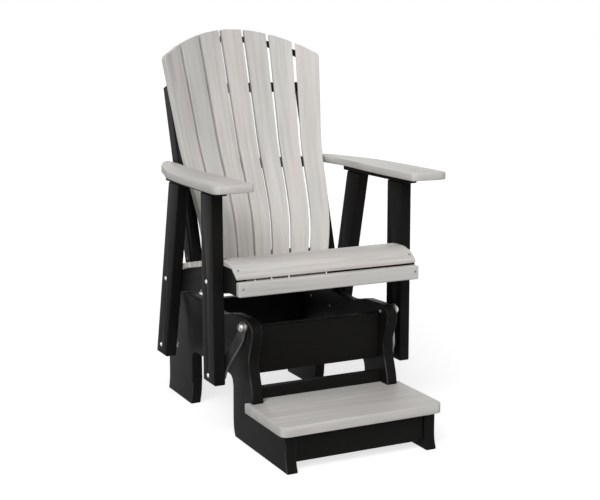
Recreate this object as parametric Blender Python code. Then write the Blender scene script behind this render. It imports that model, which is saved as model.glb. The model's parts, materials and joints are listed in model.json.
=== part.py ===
# Balcony-height glider armchair: the chair hangs from four straps inside a fixed base with a step.
# Metres. X runs across the chair, the front faces -Y, Z is up and the floor is Z = 0.
# Depths below are measured back from the front edge of the front feet.
import math

import bmesh
import bpy
from mathutils import Matrix, Vector

for old in list(bpy.data.objects):
    bpy.data.objects.remove(old, do_unlink=True)

# Fits
seat_gap = 0.0003
support_gap = 0.0007
notch_gap = 0.0013
edge_round = 0.003
soft_round = 0.004
round_sides = 16
sharp_angle = math.radians(35)
outline_steps = 2
origin_depth = 0.5273

# Base side panels, their outline in shares of the panel's depth and height
panel_thickness = 0.0381
panel_outer = 0.2651
panel_depth = 1.0318
panel_height = 0.4360
foot_front_shares = ((0.000, 0.000), (0.005, 0.030), (0.010, 0.067), (0.012, 0.112))
front_leg_rear_shares = ((0.387, 0.000), (0.395, 0.037), (0.400, 0.087), (0.401, 0.161))
arch_front_shares = ((0.399, 0.394), (0.404, 0.436), (0.414, 0.461), (0.429, 0.470))
arch_rear_shares = ((0.721, 0.470), (0.739, 0.459), (0.751, 0.433), (0.755, 0.397))
rear_foot_front_shares = ((0.755, 0.248), (0.761, 0.122), (0.770, 0.050), (0.777, 0.000))
rear_edge_shares = ((1.000, 0.000), (0.993, 0.046), (0.987, 0.110), (0.985, 0.206), (0.985, 0.344),
                    (0.977, 0.477), (0.958, 0.601), (0.936, 0.722), (0.921, 0.826), (0.916, 0.906))
rear_lobe_shares = ((0.908, 0.961), (0.889, 0.991), (0.861, 1.000), (0.830, 0.993), (0.803, 0.970),
                    (0.781, 0.943), (0.758, 0.928))
top_dip_shares = ((0.659, 0.925), (0.596, 0.906), (0.543, 0.896), (0.497, 0.899), (0.452, 0.924),
                  (0.403, 0.948))
front_edge_shares = ((0.334, 0.955), (0.289, 0.954), (0.264, 0.936), (0.248, 0.906), (0.245, 0.872),
                     (0.253, 0.803), (0.267, 0.722), (0.275, 0.651), (0.270, 0.578), (0.259, 0.500),
                     (0.248, 0.424), (0.243, 0.356))
front_top_pivot_shares = (0.2908, 0.9060)
rear_top_pivot_shares = (0.8567, 0.9438)

# Step
step_top = 0.1527
step_thickness = 0.0328
step_half_width = 0.2840
step_overhang = 0.0069
step_ear = 0.0254
step_corner = 0.0250
step_corner_steps = 4
step_apron_set = 0.0200
step_apron_bottom = 0.0290
apron_thickness = 0.0330
riser_front = 0.2974
riser_bottom = 0.1010
riser_top = 0.1885

# Cross boards of the base, set by the upper pivots
nut_room = 0.0120
waist_apron_height = 0.1620
front_apron_drop = 0.0080
rear_apron_drop = 0.0560

# Hanger straps
strap_width = 0.0410
strap_thickness = 0.0064
strap_bend_start = 0.0220
strap_bend_end = 0.1700
strap_bend_steps = 8
strap_bend_ease_share = 0.28
strap_end_steps = 5
strap_tip_share = 0.12
top_hub_reach = 0.0078
low_hub_reach = 0.0098
hub_radius = 0.0150
hub_proud = 0.0020
open_eye_play = 0.0032

# Bolts: the head's profile in shares of its height and radius; the upper pivots have the large heads
bolt_radius = 0.0040
pivot_head_radius = 0.0105
pivot_head_height = 0.0085
pivot_washer_radius = 0.0150
leg_head_radius = 0.0068
leg_head_height = 0.0045
leg_washer_radius = 0.0092
head_shares = ((0.0, 0.60), (0.45, 0.94), (1.0, 1.0))
washer_thickness = 0.0016
nut_flat = 0.0063
nut_height = 0.0046
thread_end = 0.0012
bore_over = 0.0020

# Chair legs
leg_inner = 0.3233
leg_thickness = 0.0376
leg_top = 0.8179
front_leg_front = 0.3345
front_leg_width = 0.0973
front_leg_bottom = 0.2016
front_pivot_rise = 0.0252
front_pivot_share = 0.525
rear_leg_bottom = 0.1910
rear_leg_front_low = 0.7838
rear_leg_lean = 0.1602
rear_leg_width = 0.0975
rear_pivot_rise = 0.0361
rear_pivot_share = 0.543

# Seat rails
rail_thickness = 0.0380
rail_front = 0.2415
rail_bottom_front = 0.5105
rail_nose_low = 0.5627
rail_nose_top = 0.2788
rail_flat_top = 0.5889
rail_flat_end = 0.3670
rail_rear = 0.8080
rail_rear_top = 0.4951
rail_rear_bottom = 0.4180
rail_belly_shares = ((0.103, 0.011), (0.156, 0.081), (0.262, 0.200))
front_bolt_shares = (0.549, 0.687)
rear_bolt_shares = (0.558, 0.344)

# Seat boards: the first slat's round front in shares of its reach and drop
slat_inset = 0.0007
seat_slat_thickness = 0.0193
seat_front_reach = 0.0425
seat_front_drop = 0.0100
seat_front_shares = ((0.00, 0.00), (0.10, 0.26), (0.25, 0.53), (0.44, 0.75), (0.68, 0.92), (1.00, 1.00))
crease_gap = 0.0006
seat_slat_width = 0.0864
seat_slat_gap = 0.0050
seat_slat_count = 3
ear_room = 0.0070
notch_room = 0.0095
front_board_thickness = 0.0250
nose_drop = 0.0062
nose_over = 0.0045
nose_slat_thickness = 0.0125
cross_rail_thickness = 0.0330
front_rail_top = 0.5330
front_rail_height = 0.0700
cross_rail_set = 0.0030
middle_rail_front = 0.5200
middle_rail_height = 0.0500
rear_rail_bottom = 0.4450
rear_rail_height = 0.0350
rear_rail_thickness = 0.0280

# Back: the slats' front surface on the centre line in shares of the back's height and reach,
# and how tightly each level curves round in shares of the lowest radius
back_low = 0.5000
back_front = 0.7440
back_height = 0.8220
back_reach = 0.2720
back_line_shares = ((0.000, 0.000), (0.041, 0.004), (0.127, 0.022), (0.204, 0.061), (0.279, 0.141),
                    (0.350, 0.237), (0.421, 0.346), (0.507, 0.468), (0.631, 0.603), (0.742, 0.725),
                    (0.866, 0.855), (1.000, 1.000))
back_foot_drop = 0.0600
back_curve = 0.5180
back_curve_shares = ((0.000, 1.000), (0.041, 1.000), (0.421, 1.363), (0.745, 1.089), (0.961, 0.985))
slat_count = 7
slat_gap = 0.0062
slat_thickness = 0.0220
fan_low_half = 0.2330
fan_high_half = 0.3129
arch_radius = 0.5210
support_depth = 0.0300
support_height = 0.0340
support_shares = (0.0067, 0.3990, 0.7232)
top_support_height = 0.0220
top_support_drop = 0.0460
top_support_inset = 0.0429
hollow_steps = 16
post_room = 0.0083
post_thickness = 0.0378
post_width = 0.0585
post_low = 0.4560
post_set = 0.0257
post_height_share = 0.776
post_reach_share = 0.692
post_chamfer = 0.0120

# Arms: outline in shares of the armrest's width and length, from its inner front corner
arm_rail_front_over = 0.0373
arm_rail_rear_over = 0.0295
arm_rail_thickness = 0.0215
arm_thickness = 0.0242
arm_room = 0.0024
arm_width = 0.1340
arm_front = 0.1855
arm_length = 0.7455
arm_shares = ((0.000, 0.018), (0.045, 0.009), (0.381, 0.003), (0.754, 0.000), (0.896, 0.006),
              (0.978, 0.023), (0.996, 0.053), (0.993, 0.207), (0.978, 0.341), (0.959, 0.449),
              (0.918, 0.569), (0.836, 0.650), (0.724, 0.722), (0.560, 0.835), (0.336, 0.934),
              (0.201, 0.979), (0.112, 0.997), (0.037, 1.000), (0.000, 0.988), (0.000, 0.945),
              (0.000, 0.878), (0.052, 0.771), (0.101, 0.677), (0.060, 0.516), (0.000, 0.328))

# Worked out from the sizes above
panel_inner = panel_outer - panel_thickness
leg_outer = leg_inner + leg_thickness
rail_outer = leg_inner - seat_gap
rail_inner = rail_outer - rail_thickness
slat_half_width = leg_inner - slat_inset
post_outer = rail_inner - post_room
post_inner = post_outer - post_thickness
post_high = back_low + post_height_share * back_height
post_front_low = back_front - post_set
post_front_high = back_front + post_reach_share * back_reach
post_lean = (post_front_high - post_front_low) / (post_high - post_low)
post_depth = post_width * math.hypot(1, post_lean)
strap_high = panel_outer + seat_gap + top_hub_reach
strap_low = leg_inner - seat_gap - low_hub_reach - strap_thickness
arm_rail_bottom = leg_top + seat_gap
arm_bottom = arm_rail_bottom + arm_rail_thickness + seat_gap
arm_inner = post_outer + arm_room
step_bottom = step_top - step_thickness
waist_front = front_edge_shares[-1][0] * panel_depth
rear_leg_slope = rear_leg_lean / (leg_top - rear_leg_bottom)
front_top_pivot = (front_top_pivot_shares[0] * panel_depth, front_top_pivot_shares[1] * panel_height)
rear_top_pivot = (rear_top_pivot_shares[0] * panel_depth, rear_top_pivot_shares[1] * panel_height)
front_low_pivot = (front_leg_front + front_pivot_share * front_leg_width, front_leg_bottom + front_pivot_rise)
rear_low_pivot = (rear_leg_front_low - rear_leg_slope * rear_pivot_rise + rear_pivot_share * rear_leg_width,
                  rear_leg_bottom + rear_pivot_rise)

materials = {}
bores = {}


def material(name, colour, roughness, metallic=0.0):
    """A Principled material, made once and shared by name."""
    if name not in materials:
        made = bpy.data.materials.new(name)
        made.use_nodes = True
        shader = made.node_tree.nodes["Principled BSDF"]
        shader.inputs["Base Color"].default_value = (*colour, 1.0)
        shader.inputs["Roughness"].default_value = roughness
        shader.inputs["Metallic"].default_value = metallic
        made.diffuse_color = (*colour, 1.0)
        materials[name] = made
    return materials[name]


def pale(name):
    return material(name, (0.62, 0.59, 0.56), 0.62)


def black(name):
    return material(name, (0.018, 0.018, 0.019), 0.50)


def steel(name):
    return material(name, (0.66, 0.66, 0.67), 0.28, 1.0)


def empty(name, place, parent=None):
    """A frame of reference at a world point."""
    made = bpy.data.objects.new(name, None)
    bpy.context.collection.objects.link(made)
    made.parent = parent
    made["world"] = place
    start = Vector(parent["world"]) if parent else Vector((0, 0, 0))
    made.location = Vector(place) - start
    return made


def world(depth, height, across=0.0):
    return (across, depth - origin_depth, height)


root = empty("base_frame", (0, 0, 0))
front_pivot = empty("front_hanger_pivot", world(*front_top_pivot), root)
rear_pivot = empty("rear_hanger_pivot", world(*rear_top_pivot), root)
chair_pivot = empty("chair_pivot", world(*front_low_pivot), front_pivot)


def put(name, mesh_builder, parent, coat, place=(0, 0, 0)):
    """Turns a bmesh in world axes about `place` into a named object under its parent."""
    mesh = bpy.data.meshes.new(name)
    bmesh.ops.recalc_face_normals(mesh_builder, faces=mesh_builder.faces)
    mesh_builder.to_mesh(mesh)
    mesh_builder.free()
    mesh.materials.append(coat)
    made = bpy.data.objects.new(name, mesh)
    bpy.context.collection.objects.link(made)
    made.parent = parent
    made.location = Vector(place) - Vector(parent["world"])
    return made


def ease(piece, width, segments=1):
    """Rounds the sharp edges of a board."""
    rounding = piece.modifiers.new("edges", "BEVEL")
    rounding.width = width
    rounding.segments = segments
    rounding.limit_method = "ANGLE"
    rounding.angle_limit = sharp_angle
    rounding.use_clamp_overlap = True


def curve(points, steps=3):
    """A smooth line through the points, ends included."""
    ends = [points[0], *points, points[-1]]
    line = []
    for before, start, end, after in zip(ends, ends[1:], ends[2:], ends[3:]):
        for step in range(steps):
            t = step / steps
            line.append(tuple(
                0.5 * (2 * b + (c - a) * t + (2 * a - 5 * b + 4 * c - d) * t * t
                       + (3 * b - a - 3 * c + d) * t * t * t)
                for a, b, c, d in zip(before, start, end, after)))
    line.append(tuple(points[-1]))
    return line


def spread(shares, start, size):
    """Points given as shares, placed from a start point over a size each way."""
    return [tuple(low + share * reach for share, low, reach in zip(point, start, size)) for point in shares]


def follow(table, at):
    """Straight-line value from a table of (position, value) pairs."""
    for (low, first), (high, second) in zip(table, table[1:]):
        if at <= high or (high, second) == table[-1]:
            return first + (second - first) * (at - low) / (high - low)


def sawn(outline, low, high):
    """A board sawn to an outline of (depth, height), reaching across from low to high."""
    board = bmesh.new()
    corners = [board.verts.new((low, depth - origin_depth, height)) for depth, height in outline]
    face = board.faces.new(corners)
    swept = bmesh.ops.extrude_face_region(board, geom=[face])
    moved = [v for v in swept["geom"] if isinstance(v, bmesh.types.BMVert)]
    bmesh.ops.translate(board, verts=moved, vec=(high - low, 0, 0))
    return board


def flat(outline, low, high):
    """A board cut to a plan outline of (across, depth), from height low to high."""
    board = bmesh.new()
    corners = [board.verts.new((across, depth - origin_depth, low)) for across, depth in outline]
    face = board.faces.new(corners)
    swept = bmesh.ops.extrude_face_region(board, geom=[face])
    moved = [v for v in swept["geom"] if isinstance(v, bmesh.types.BMVert)]
    bmesh.ops.translate(board, verts=moved, vec=(0, 0, high - low))
    return board


def beam(half, front, rear, bottom, top):
    """A straight cross board between -half and half."""
    return sawn(((front, bottom), (rear, bottom), (rear, top), (front, top)), -half, half)


def rings(loops):
    """Joins equal rings of points into one closed skin with a cap at each end."""
    skin = bmesh.new()
    made = [[skin.verts.new(point) for point in loop] for loop in loops]
    for first, second in zip(made, made[1:]):
        for i in range(len(first)):
            j = (i + 1) % len(first)
            skin.faces.new((first[i], first[j], second[j], second[i]))
    skin.faces.new(made[0])
    skin.faces.new(made[-1])
    return skin


def turned(shape, profile, start, along, sides):
    """Adds a turned piece to a bmesh: rings of (distance, radius) from start along a direction.

    A third value of True in a ring makes it a hexagon with that radius to its flats."""
    along = Vector(along).normalized()
    side = along.orthogonal().normalized()
    other = along.cross(side)
    sixth = math.pi / 3
    loops = []
    for distance, radius, *hexagon in profile:
        centre = Vector(start) + along * distance
        loop = []
        for k in range(sides):
            angle = 2 * math.pi * k / sides
            reach = radius / math.cos(angle % sixth - sixth / 2) if hexagon else radius
            loop.append(shape.verts.new(centre + reach * (math.cos(angle) * side + math.sin(angle) * other)))
        loops.append(loop)
    for first, second in zip(loops, loops[1:]):
        for i in range(sides):
            j = (i + 1) % sides
            shape.faces.new((first[i], first[j], second[j], second[i]))
    shape.faces.new(loops[0])
    shape.faces.new(loops[-1])


def drill(piece, start, along, length, radius):
    """Notes a bore for a piece; all of its bores are cut together at the end."""
    bores.setdefault(piece.name, []).append((start, along, length, radius))


def combine(piece, tool, word, operation):
    """Cuts a piece with a tool shape, or joins the shape to it."""
    bmesh.ops.recalc_face_normals(tool, faces=tool.faces)
    mesh = bpy.data.meshes.new(piece.name + "_" + word)
    tool.to_mesh(mesh)
    tool.free()
    guide = bpy.data.objects.new(mesh.name, mesh)
    bpy.context.collection.objects.link(guide)
    guide.display_type = "WIRE"
    guide.hide_render = True
    change = piece.modifiers.new(word, "BOOLEAN")
    change.operation = operation
    change.solver = "EXACT"
    change.object = guide


def cut_bores():
    for name, holes in bores.items():
        piece = bpy.data.objects[name]
        tool = bmesh.new()
        for start, along, length, radius in holes:
            turned(tool, ((0, radius), (length, radius)), start, along, round_sides)
        combine(piece, tool, "bores", "DIFFERENCE")


def base_sides():
    def edge(shares):
        return curve(spread(shares, (0, 0), (panel_depth, panel_height)), outline_steps)

    front = edge(foot_front_shares)
    outline = [
        *reversed(front), *edge(front_leg_rear_shares), *edge(arch_front_shares), *edge(arch_rear_shares),
        *edge(rear_foot_front_shares), *edge(rear_edge_shares), *edge(rear_lobe_shares),
        *edge(top_dip_shares), *edge(front_edge_shares), (waist_front, step_bottom - seat_gap),
        (front[-1][0], step_bottom - seat_gap)]
    # The outline starts at the top of the front foot's leading edge and runs round by the floor.
    made = {}
    for side, word in ((-1, "left"), (1, "right")):
        low, high = sorted((side * panel_inner, side * panel_outer))
        name = "base_side_" + word
        made[side] = put(name, sawn(outline, low, high), root, black(name))
        ease(made[side], edge_round)
    return made


def step_board():
    half = step_half_width
    inner = panel_inner - seat_gap
    outer = panel_outer + seat_gap
    notch = waist_front - notch_gap
    ear = notch + step_ear
    front = -step_overhang
    rear = riser_front - seat_gap
    right = []
    for k in range(step_corner_steps + 1):
        angle = math.pi / 2 * k / step_corner_steps
        right.append((half - step_corner + step_corner * math.sin(angle),
                      front + step_corner - step_corner * math.cos(angle)))
    right += [(half, ear), (outer, ear), (outer, notch), (inner, notch), (inner, rear)]
    left = [(-across, depth) for across, depth in reversed(right)]
    board = put("step_board", flat(right + left, step_bottom, step_top), root, pale("step_board"))
    ease(board, edge_round, 2)
    return board


def base_boards():
    half = panel_inner - seat_gap
    waist_top = front_top_pivot[1]
    plan = {
        "step_front_apron": (step_apron_set, step_apron_bottom, step_bottom - seat_gap),
        "step_riser": (riser_front, riser_bottom, riser_top),
        "base_front_apron": (front_top_pivot[0] + nut_room, waist_top - waist_apron_height,
                             waist_top - front_apron_drop),
        "base_rear_apron": (rear_top_pivot[0], waist_top - waist_apron_height,
                            rear_top_pivot[1] - rear_apron_drop)}
    for name, (front, bottom, top) in plan.items():
        board = put(name, beam(half, front, front + apron_thickness, bottom, top), root, black(name))
        ease(board, edge_round)


def slant(t):
    """How far a strap has moved outwards at t of its bend, and how steeply, with both ends eased."""
    eased = strap_bend_ease_share
    steep = 1 / (1 - eased)
    if t < eased:
        return steep * t * t / (2 * eased), steep * t / eased
    if t > 1 - eased:
        return 1 - steep * (1 - t) * (1 - t) / (2 * eased), steep * (1 - t) / eased
    return steep * (t - eased / 2), steep


def strap(name, side, top, low, parent, low_play):
    """A flat strap with round ends, slanting outwards between the hubs of its two eyes."""
    length = math.dist(top, low)
    down = Vector((0, low[0] - top[0], low[1] - top[1])).normalized()
    wide = Vector((0, -down.z, down.y))
    start = Vector(world(*top))
    half = strap_width / 2
    stops = [(-half * math.cos(a), half * max(math.sin(a), strap_tip_share))
             for a in (math.pi / 2 * k / strap_end_steps for k in range(strap_end_steps + 1))]
    crank = strap_bend_end - strap_bend_start
    bend = [(strap_bend_start + crank * k / strap_bend_steps, half) for k in range(strap_bend_steps + 1)]
    stops += bend + [(length - along, width) for along, width in reversed(stops)]
    loops = []
    for along, width in stops:
        moved, turn = slant(min(max((along - strap_bend_start) / crank, 0.0), 1.0))
        across = strap_high + strap_thickness / 2 + (strap_low - strap_high) * moved
        lean = (strap_low - strap_high) * turn / crank
        centre = start + down * along + Vector((side * across, 0, 0))
        skin = (Vector((side, 0, 0)) - down * lean).normalized() * strap_thickness / 2
        loops.append([centre + wide * width - skin, centre - wide * width - skin,
                      centre - wide * width + skin, centre + wide * width + skin])
    made = put(name, rings(loops), parent, black(name))
    hubs = bmesh.new()
    top_hub = top_hub_reach + strap_thickness + hub_proud
    low_hub = low_hub_reach + strap_thickness + hub_proud
    for point, face, along, reach in ((top, panel_outer + seat_gap, side, top_hub),
                                      (low, leg_inner - seat_gap, -side, low_hub)):
        rounds = ((0, hub_radius), (reach, hub_radius))
        turned(hubs, rounds, world(*point, side * face), (along, 0, 0), round_sides)
    combine(made, hubs, "hubs", "UNION")
    for point, face, along, reach, play in (
            (top, panel_outer, side, top_hub, seat_gap), (low, leg_inner, -side, low_hub, low_play)):
        drill(made, world(*point, side * face), (along, 0, 0), reach + hub_proud, bolt_radius + play)
    return made


def bolt(name, side, point, head_face, nut_face, parent, large=False):
    """A pan-head bolt with its washer and nut, through everything between the two faces."""
    head_radius, head_height, washer_radius = (
        (pivot_head_radius, pivot_head_height, pivot_washer_radius) if large
        else (leg_head_radius, leg_head_height, leg_washer_radius))
    grip = abs(head_face - nut_face) + 2 * seat_gap
    inward = 1 if nut_face > head_face else -1
    head_end = head_height + washer_thickness
    nut_start = head_end + grip
    shape = bmesh.new()
    start = world(*point, side * (head_face - inward * (head_end + seat_gap)))
    turned(shape, (
        *spread(head_shares, (0, 0), (head_height, head_radius)),
        (head_height, washer_radius), (head_end, washer_radius), (head_end, bolt_radius),
        (nut_start, bolt_radius), (nut_start, nut_flat, True), (nut_start + nut_height, nut_flat, True),
        (nut_start + nut_height, bolt_radius), (nut_start + nut_height + thread_end, bolt_radius)),
        start, (side * inward, 0, 0), round_sides)
    made = put(name, shape, parent, steel(name), world(*point))
    made.data.transform(Matrix.Translation(-Vector(world(*point))))
    made.data.shade_smooth()
    made.data.set_sharp_from_angle(angle=sharp_angle)
    return made


def bore_through(piece, side, point, low, high, play=seat_gap):
    """A bore right through a board whose faces are at low and high."""
    drill(piece, world(*point, side * (low - bore_over)), (side, 0, 0), high - low + 2 * bore_over,
          bolt_radius + play)


def pivots(panels, legs):
    """Bolts of the eight strap joints: the top ones stay with the base and the low ones with the chair."""
    for side, word in ((-1, "left"), (1, "right")):
        for end, top, low in (("front", front_top_pivot, front_low_pivot),
                              ("rear", rear_top_pivot, rear_low_pivot)):
            bolt("%s_top_pivot_bolt_%s" % (end, word), side, top,
                 strap_high + strap_thickness + hub_proud, panel_inner, root, large=True)
            bore_through(panels[side], side, top, panel_inner, panel_outer)
            bolt("%s_low_pivot_bolt_%s" % (end, word), side, low, leg_outer, strap_low - hub_proud,
                 chair_pivot)
            bore_through(legs[end, side], side, low, leg_inner, leg_outer)


def chair_legs():
    legs = {}
    rear = front_leg_front + front_leg_width
    front_outline = ((front_leg_front, front_leg_bottom), (rear, front_leg_bottom),
                     (rear, leg_top), (front_leg_front, leg_top))
    high = rear_leg_front_low - rear_leg_lean
    rear_outline = ((rear_leg_front_low, rear_leg_bottom),
                    (rear_leg_front_low + rear_leg_width, rear_leg_bottom),
                    (high + rear_leg_width, leg_top), (high, leg_top))
    for side, word in ((-1, "left"), (1, "right")):
        low, high = sorted((side * leg_inner, side * leg_outer))
        for end, outline in (("front", front_outline), ("rear", rear_outline)):
            name = end + "_leg_" + word
            legs[end, side] = put(name, sawn(outline, low, high), chair_pivot, black(name))
            ease(legs[end, side], edge_round)
    return legs


def rail_top(depth):
    """Height of the seat rail's upper edge behind the flat front part."""
    return follow(((rail_flat_end, rail_flat_top), (rail_rear, rail_rear_top)), depth)


def rail_belly():
    """The seat rail's lower edge from front to rear."""
    drop = rail_rear_bottom - rail_bottom_front
    line = spread(rail_belly_shares, (rail_front, rail_bottom_front), (rail_rear - rail_front, drop))
    return [(rail_front, rail_bottom_front), *curve(line), (rail_rear, rail_rear_bottom)]


def seat_rails():
    outline = [
        *rail_belly(), (rail_rear, rail_rear_top), (rail_flat_end, rail_flat_top),
        (rail_nose_top, rail_flat_top), (rail_front, rail_nose_low)]
    rails = {}
    for side, word in ((-1, "left"), (1, "right")):
        low, high = sorted((side * rail_inner, side * rail_outer))
        name = "seat_rail_" + word
        rails[side] = put(name, sawn(outline, low, high), chair_pivot, black(name))
        ease(rails[side], edge_round)
    return rails


def seat_slat(name, outline):
    """A slat across the whole seat, sawn to an outline of (depth, height)."""
    slat = put(name, sawn(outline, -slat_half_width, slat_half_width), chair_pivot, pale(name))
    ease(slat, edge_round)


def nose_slat():
    """The thinner slat on the rails' sloping noses, both of its ends cut upright."""
    slope = (rail_flat_top - rail_nose_low) / (rail_nose_top - rail_front)
    lift = seat_gap * math.hypot(1, slope)
    thick = nose_slat_thickness * math.hypot(1, slope)
    front = rail_front - nose_over
    rear = rail_nose_top - crease_gap
    low = rail_nose_low - slope * nose_over + lift
    high = low + slope * (rear - front)
    seat_slat("seat_nose_slat", ((front, low), (rear, high), (rear, high + thick), (front, low + thick)))


def first_slat():
    """The level slat behind the nose, rounded down towards it."""
    bottom = rail_flat_top + seat_gap
    top = bottom + seat_slat_thickness
    front = rail_nose_top + crease_gap
    rear = rail_flat_end - seat_slat_gap / 2
    fall = spread(seat_front_shares, (front, top - seat_front_drop), (seat_front_reach, seat_front_drop))
    seat_slat("seat_slat_1", ((rear, top), (rear, bottom), (front, bottom), *fall))


def seat_boards():
    """Front board, nose and seat slats; gives the start and slope of the last one."""
    rear = rail_front - seat_gap
    board = put("seat_front_board",
                beam(slat_half_width, rear - front_board_thickness, rear, rail_bottom_front,
                     rail_nose_low - nose_drop),
                chair_pivot, pale("seat_front_board"))
    ease(board, edge_round)
    nose_slat()
    first_slat()
    slope = Vector((rail_rear - rail_flat_end, rail_rear_top - rail_flat_top)).normalized()
    up = Vector((-slope.y, slope.x))
    run = Vector((rail_flat_end, rail_flat_top)) + slope * seat_slat_gap / 2
    for number in range(seat_slat_count):
        foot = run + up * seat_gap
        far = foot + slope * seat_slat_width
        thick = up * seat_slat_thickness
        seat_slat("seat_slat_%d" % (number + 2), [tuple(c) for c in (foot, far, far + thick, foot + thick)])
        run = run + slope * (seat_slat_width + seat_slat_gap)
    return run, slope


def back_line(height):
    """Depth of the slats' front surface on the centre line."""
    return back_front + back_reach * follow(back_line_shares, (height - back_low) / back_height)


def back_radius(height):
    return back_curve * follow(back_curve_shares, (height - back_low) / back_height)


def back_surface(across, height):
    """Depth of the slats' front surface at a point of the back."""
    return back_line(height) - across * across / (2 * back_radius(height))


def rear_seat_slat(run, slope):
    """The last seat slat, its rear edge hollowed to follow the curved back."""
    up = Vector((-slope.y, slope.x))
    notch = fan_low_half + notch_room
    ear = post_front_low - ear_room
    hollow = []
    for k in range(hollow_steps + 1):
        across = -notch + 2 * notch * k / hollow_steps
        hollow.append((across, back_surface(across, back_low) - seat_slat_gap))
    plan = [(-slat_half_width, run.x), (-slat_half_width, ear), (-notch, ear), *hollow, (notch, ear),
            (slat_half_width, ear), (slat_half_width, run.x)]
    loops = []
    for lift in (seat_gap, seat_gap + seat_slat_thickness):
        loop = []
        for across, depth in plan:
            point = run + slope * ((depth - run.x) / slope.x) + up * lift
            loop.append(Vector(world(point.x, point.y, across)))
        loops.append(loop)
    slat = put("seat_rear_slat", rings(loops), chair_pivot, pale("seat_rear_slat"))
    ease(slat, edge_round)


def seat_cross_rails():
    """Boards between the side rails that stiffen the seat."""
    half = rail_inner - seat_gap
    front = rail_nose_top + cross_rail_set
    rear = front + cross_rail_thickness
    middle_rear = middle_rail_front + cross_rail_thickness
    middle_top = rail_top(middle_rear)
    line = [(post_front(height) + post_depth + seat_gap, height)
            for height in (rear_rail_bottom, rear_rail_bottom + rear_rail_height)]
    leaning = line + [(depth + rear_rail_thickness, height) for depth, height in reversed(line)]
    rails = {
        "seat_front_rail": beam(half, front, rear, front_rail_top - front_rail_height, front_rail_top),
        "seat_middle_rail": beam(half, middle_rail_front, middle_rear, middle_top - middle_rail_height,
                                 middle_top),
        "seat_rear_rail": sawn(leaning, -half, half)}
    for name, shape in rails.items():
        ease(put(name, shape, chair_pivot, black(name)), edge_round)


def post_front(height):
    """Depth of the leaning front edge of the back posts."""
    return post_front_low + post_lean * (height - post_low)


def fan_edge(share, height):
    """Distance across of a fan line; share runs from -1 to 1 over the whole back."""
    half = follow(((back_low, fan_low_half), (back_low + back_height, fan_high_half)), height)
    return share * half


def arch(across):
    """Height of the back's top edge."""
    return back_low + back_height - across * across / (2 * arch_radius)


def back_slats():
    slats = []
    stations = [back_low - back_foot_drop]
    stations += [back_low + share * back_height for share, _ in back_line_shares[:-1]]
    for number in range(slat_count):
        left = -1 + 2 * number / slat_count
        right = left + 2 / slat_count
        loops = []
        for station in stations + [None]:
            loop = []
            for share, inset in ((left, slat_gap / 2), (right, -slat_gap / 2)):
                height = station
                if station is None:
                    height = arch(fan_edge(share, back_low + back_height))
                across = fan_edge(share, height) + inset
                if station is None:
                    height = arch(across)
                loop.append(Vector((across, back_surface(across, height) - origin_depth, height)))
            rise = slat_thickness
            middle = (loop[0].z + loop[1].z) / 2
            tilt = Vector((0, back_line(middle + rise) - back_line(middle - rise), 2 * rise))
            normal = tilt.cross(loop[1] - loop[0]).normalized()
            loop += [loop[1] + normal * slat_thickness, loop[0] + normal * slat_thickness]
            loops.append(loop)
        name = "back_slat_%d" % (number + 1)
        slat = put(name, rings(loops), chair_pivot, pale(name))
        ease(slat, edge_round)
        slats.append(slat)
    return slats


def slat_rear(across, height):
    """Depth just behind the slats, where the supports start."""
    rise = slat_thickness
    slope = (back_line(height + rise) - back_line(height - rise)) / (2 * rise)
    turn = across / back_radius(height)
    return back_surface(across, height) + slat_thickness * math.hypot(1, slope, turn) + support_gap


def hollow_beam(half, bottom, top, depth):
    """A support whose front follows the back of the slats; bottom and top may vary across."""
    loops = []
    for k in range(hollow_steps + 1):
        across = -half + 2 * half * k / hollow_steps
        low, high = bottom(across), top(across)
        front_low, front_high = slat_rear(across, low), slat_rear(across, high)
        rear = max(front_low, front_high) + depth
        loops.append([Vector((across, d - origin_depth, h)) for d, h in (
            (front_low, low), (rear, low), (rear, high), (front_high, high))])
    return rings(loops)


def back_supports():
    made = []
    half = post_inner - seat_gap
    for word, share in zip(("bottom", "lower", "middle"), support_shares):
        name = "back_support_" + word
        level = back_low + share * back_height
        made.append(put(name, hollow_beam(half, lambda x, z=level: z, lambda x, z=level: z + support_height,
                                          support_depth), chair_pivot, black(name)))
    top = hollow_beam(fan_high_half - top_support_inset, lambda x: arch(x) - top_support_drop,
                      lambda x: arch(x) - top_support_drop + top_support_height, support_depth)
    made.append(put("back_support_top", top, chair_pivot, black("back_support_top")))
    for piece in made:
        ease(piece, edge_round)
    return made


def back_posts():
    posts = {}
    outline = (
        (post_front_low, post_low), (post_front_low + post_depth, post_low),
        (post_front(post_high - post_chamfer) + post_depth, post_high - post_chamfer),
        (post_front_high + post_depth - post_chamfer, post_high), (post_front_high, post_high))
    for side, word in ((-1, "left"), (1, "right")):
        low, high = sorted((side * post_inner, side * post_outer))
        name = "back_post_" + word
        posts[side] = put(name, sawn(outline, low, high), chair_pivot, black(name))
        ease(posts[side], edge_round)
    return posts


def arms():
    corners = spread(arm_shares + arm_shares[:1], (arm_inner, arm_front), (arm_width, arm_length))
    plan = curve(corners, outline_steps)[:-1]
    front = front_leg_front - arm_rail_front_over
    rear = rear_leg_front_low - rear_leg_lean + rear_leg_width + arm_rail_rear_over
    rail_high = arm_rail_bottom + arm_rail_thickness
    section = ((front, arm_rail_bottom), (rear, arm_rail_bottom), (rear, rail_high), (front, rail_high))
    for side, word in ((-1, "left"), (1, "right")):
        low, high = sorted((side * leg_inner, side * leg_outer))
        name = "arm_rail_" + word
        ease(put(name, sawn(section, low, high), chair_pivot, black(name)), edge_round)
        name = "armrest_" + word
        outline = [(side * across, depth) for across, depth in plan]
        rest = flat(outline, arm_bottom, arm_bottom + arm_thickness)
        ease(put(name, rest, chair_pivot, pale(name)), soft_round, 2)


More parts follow.
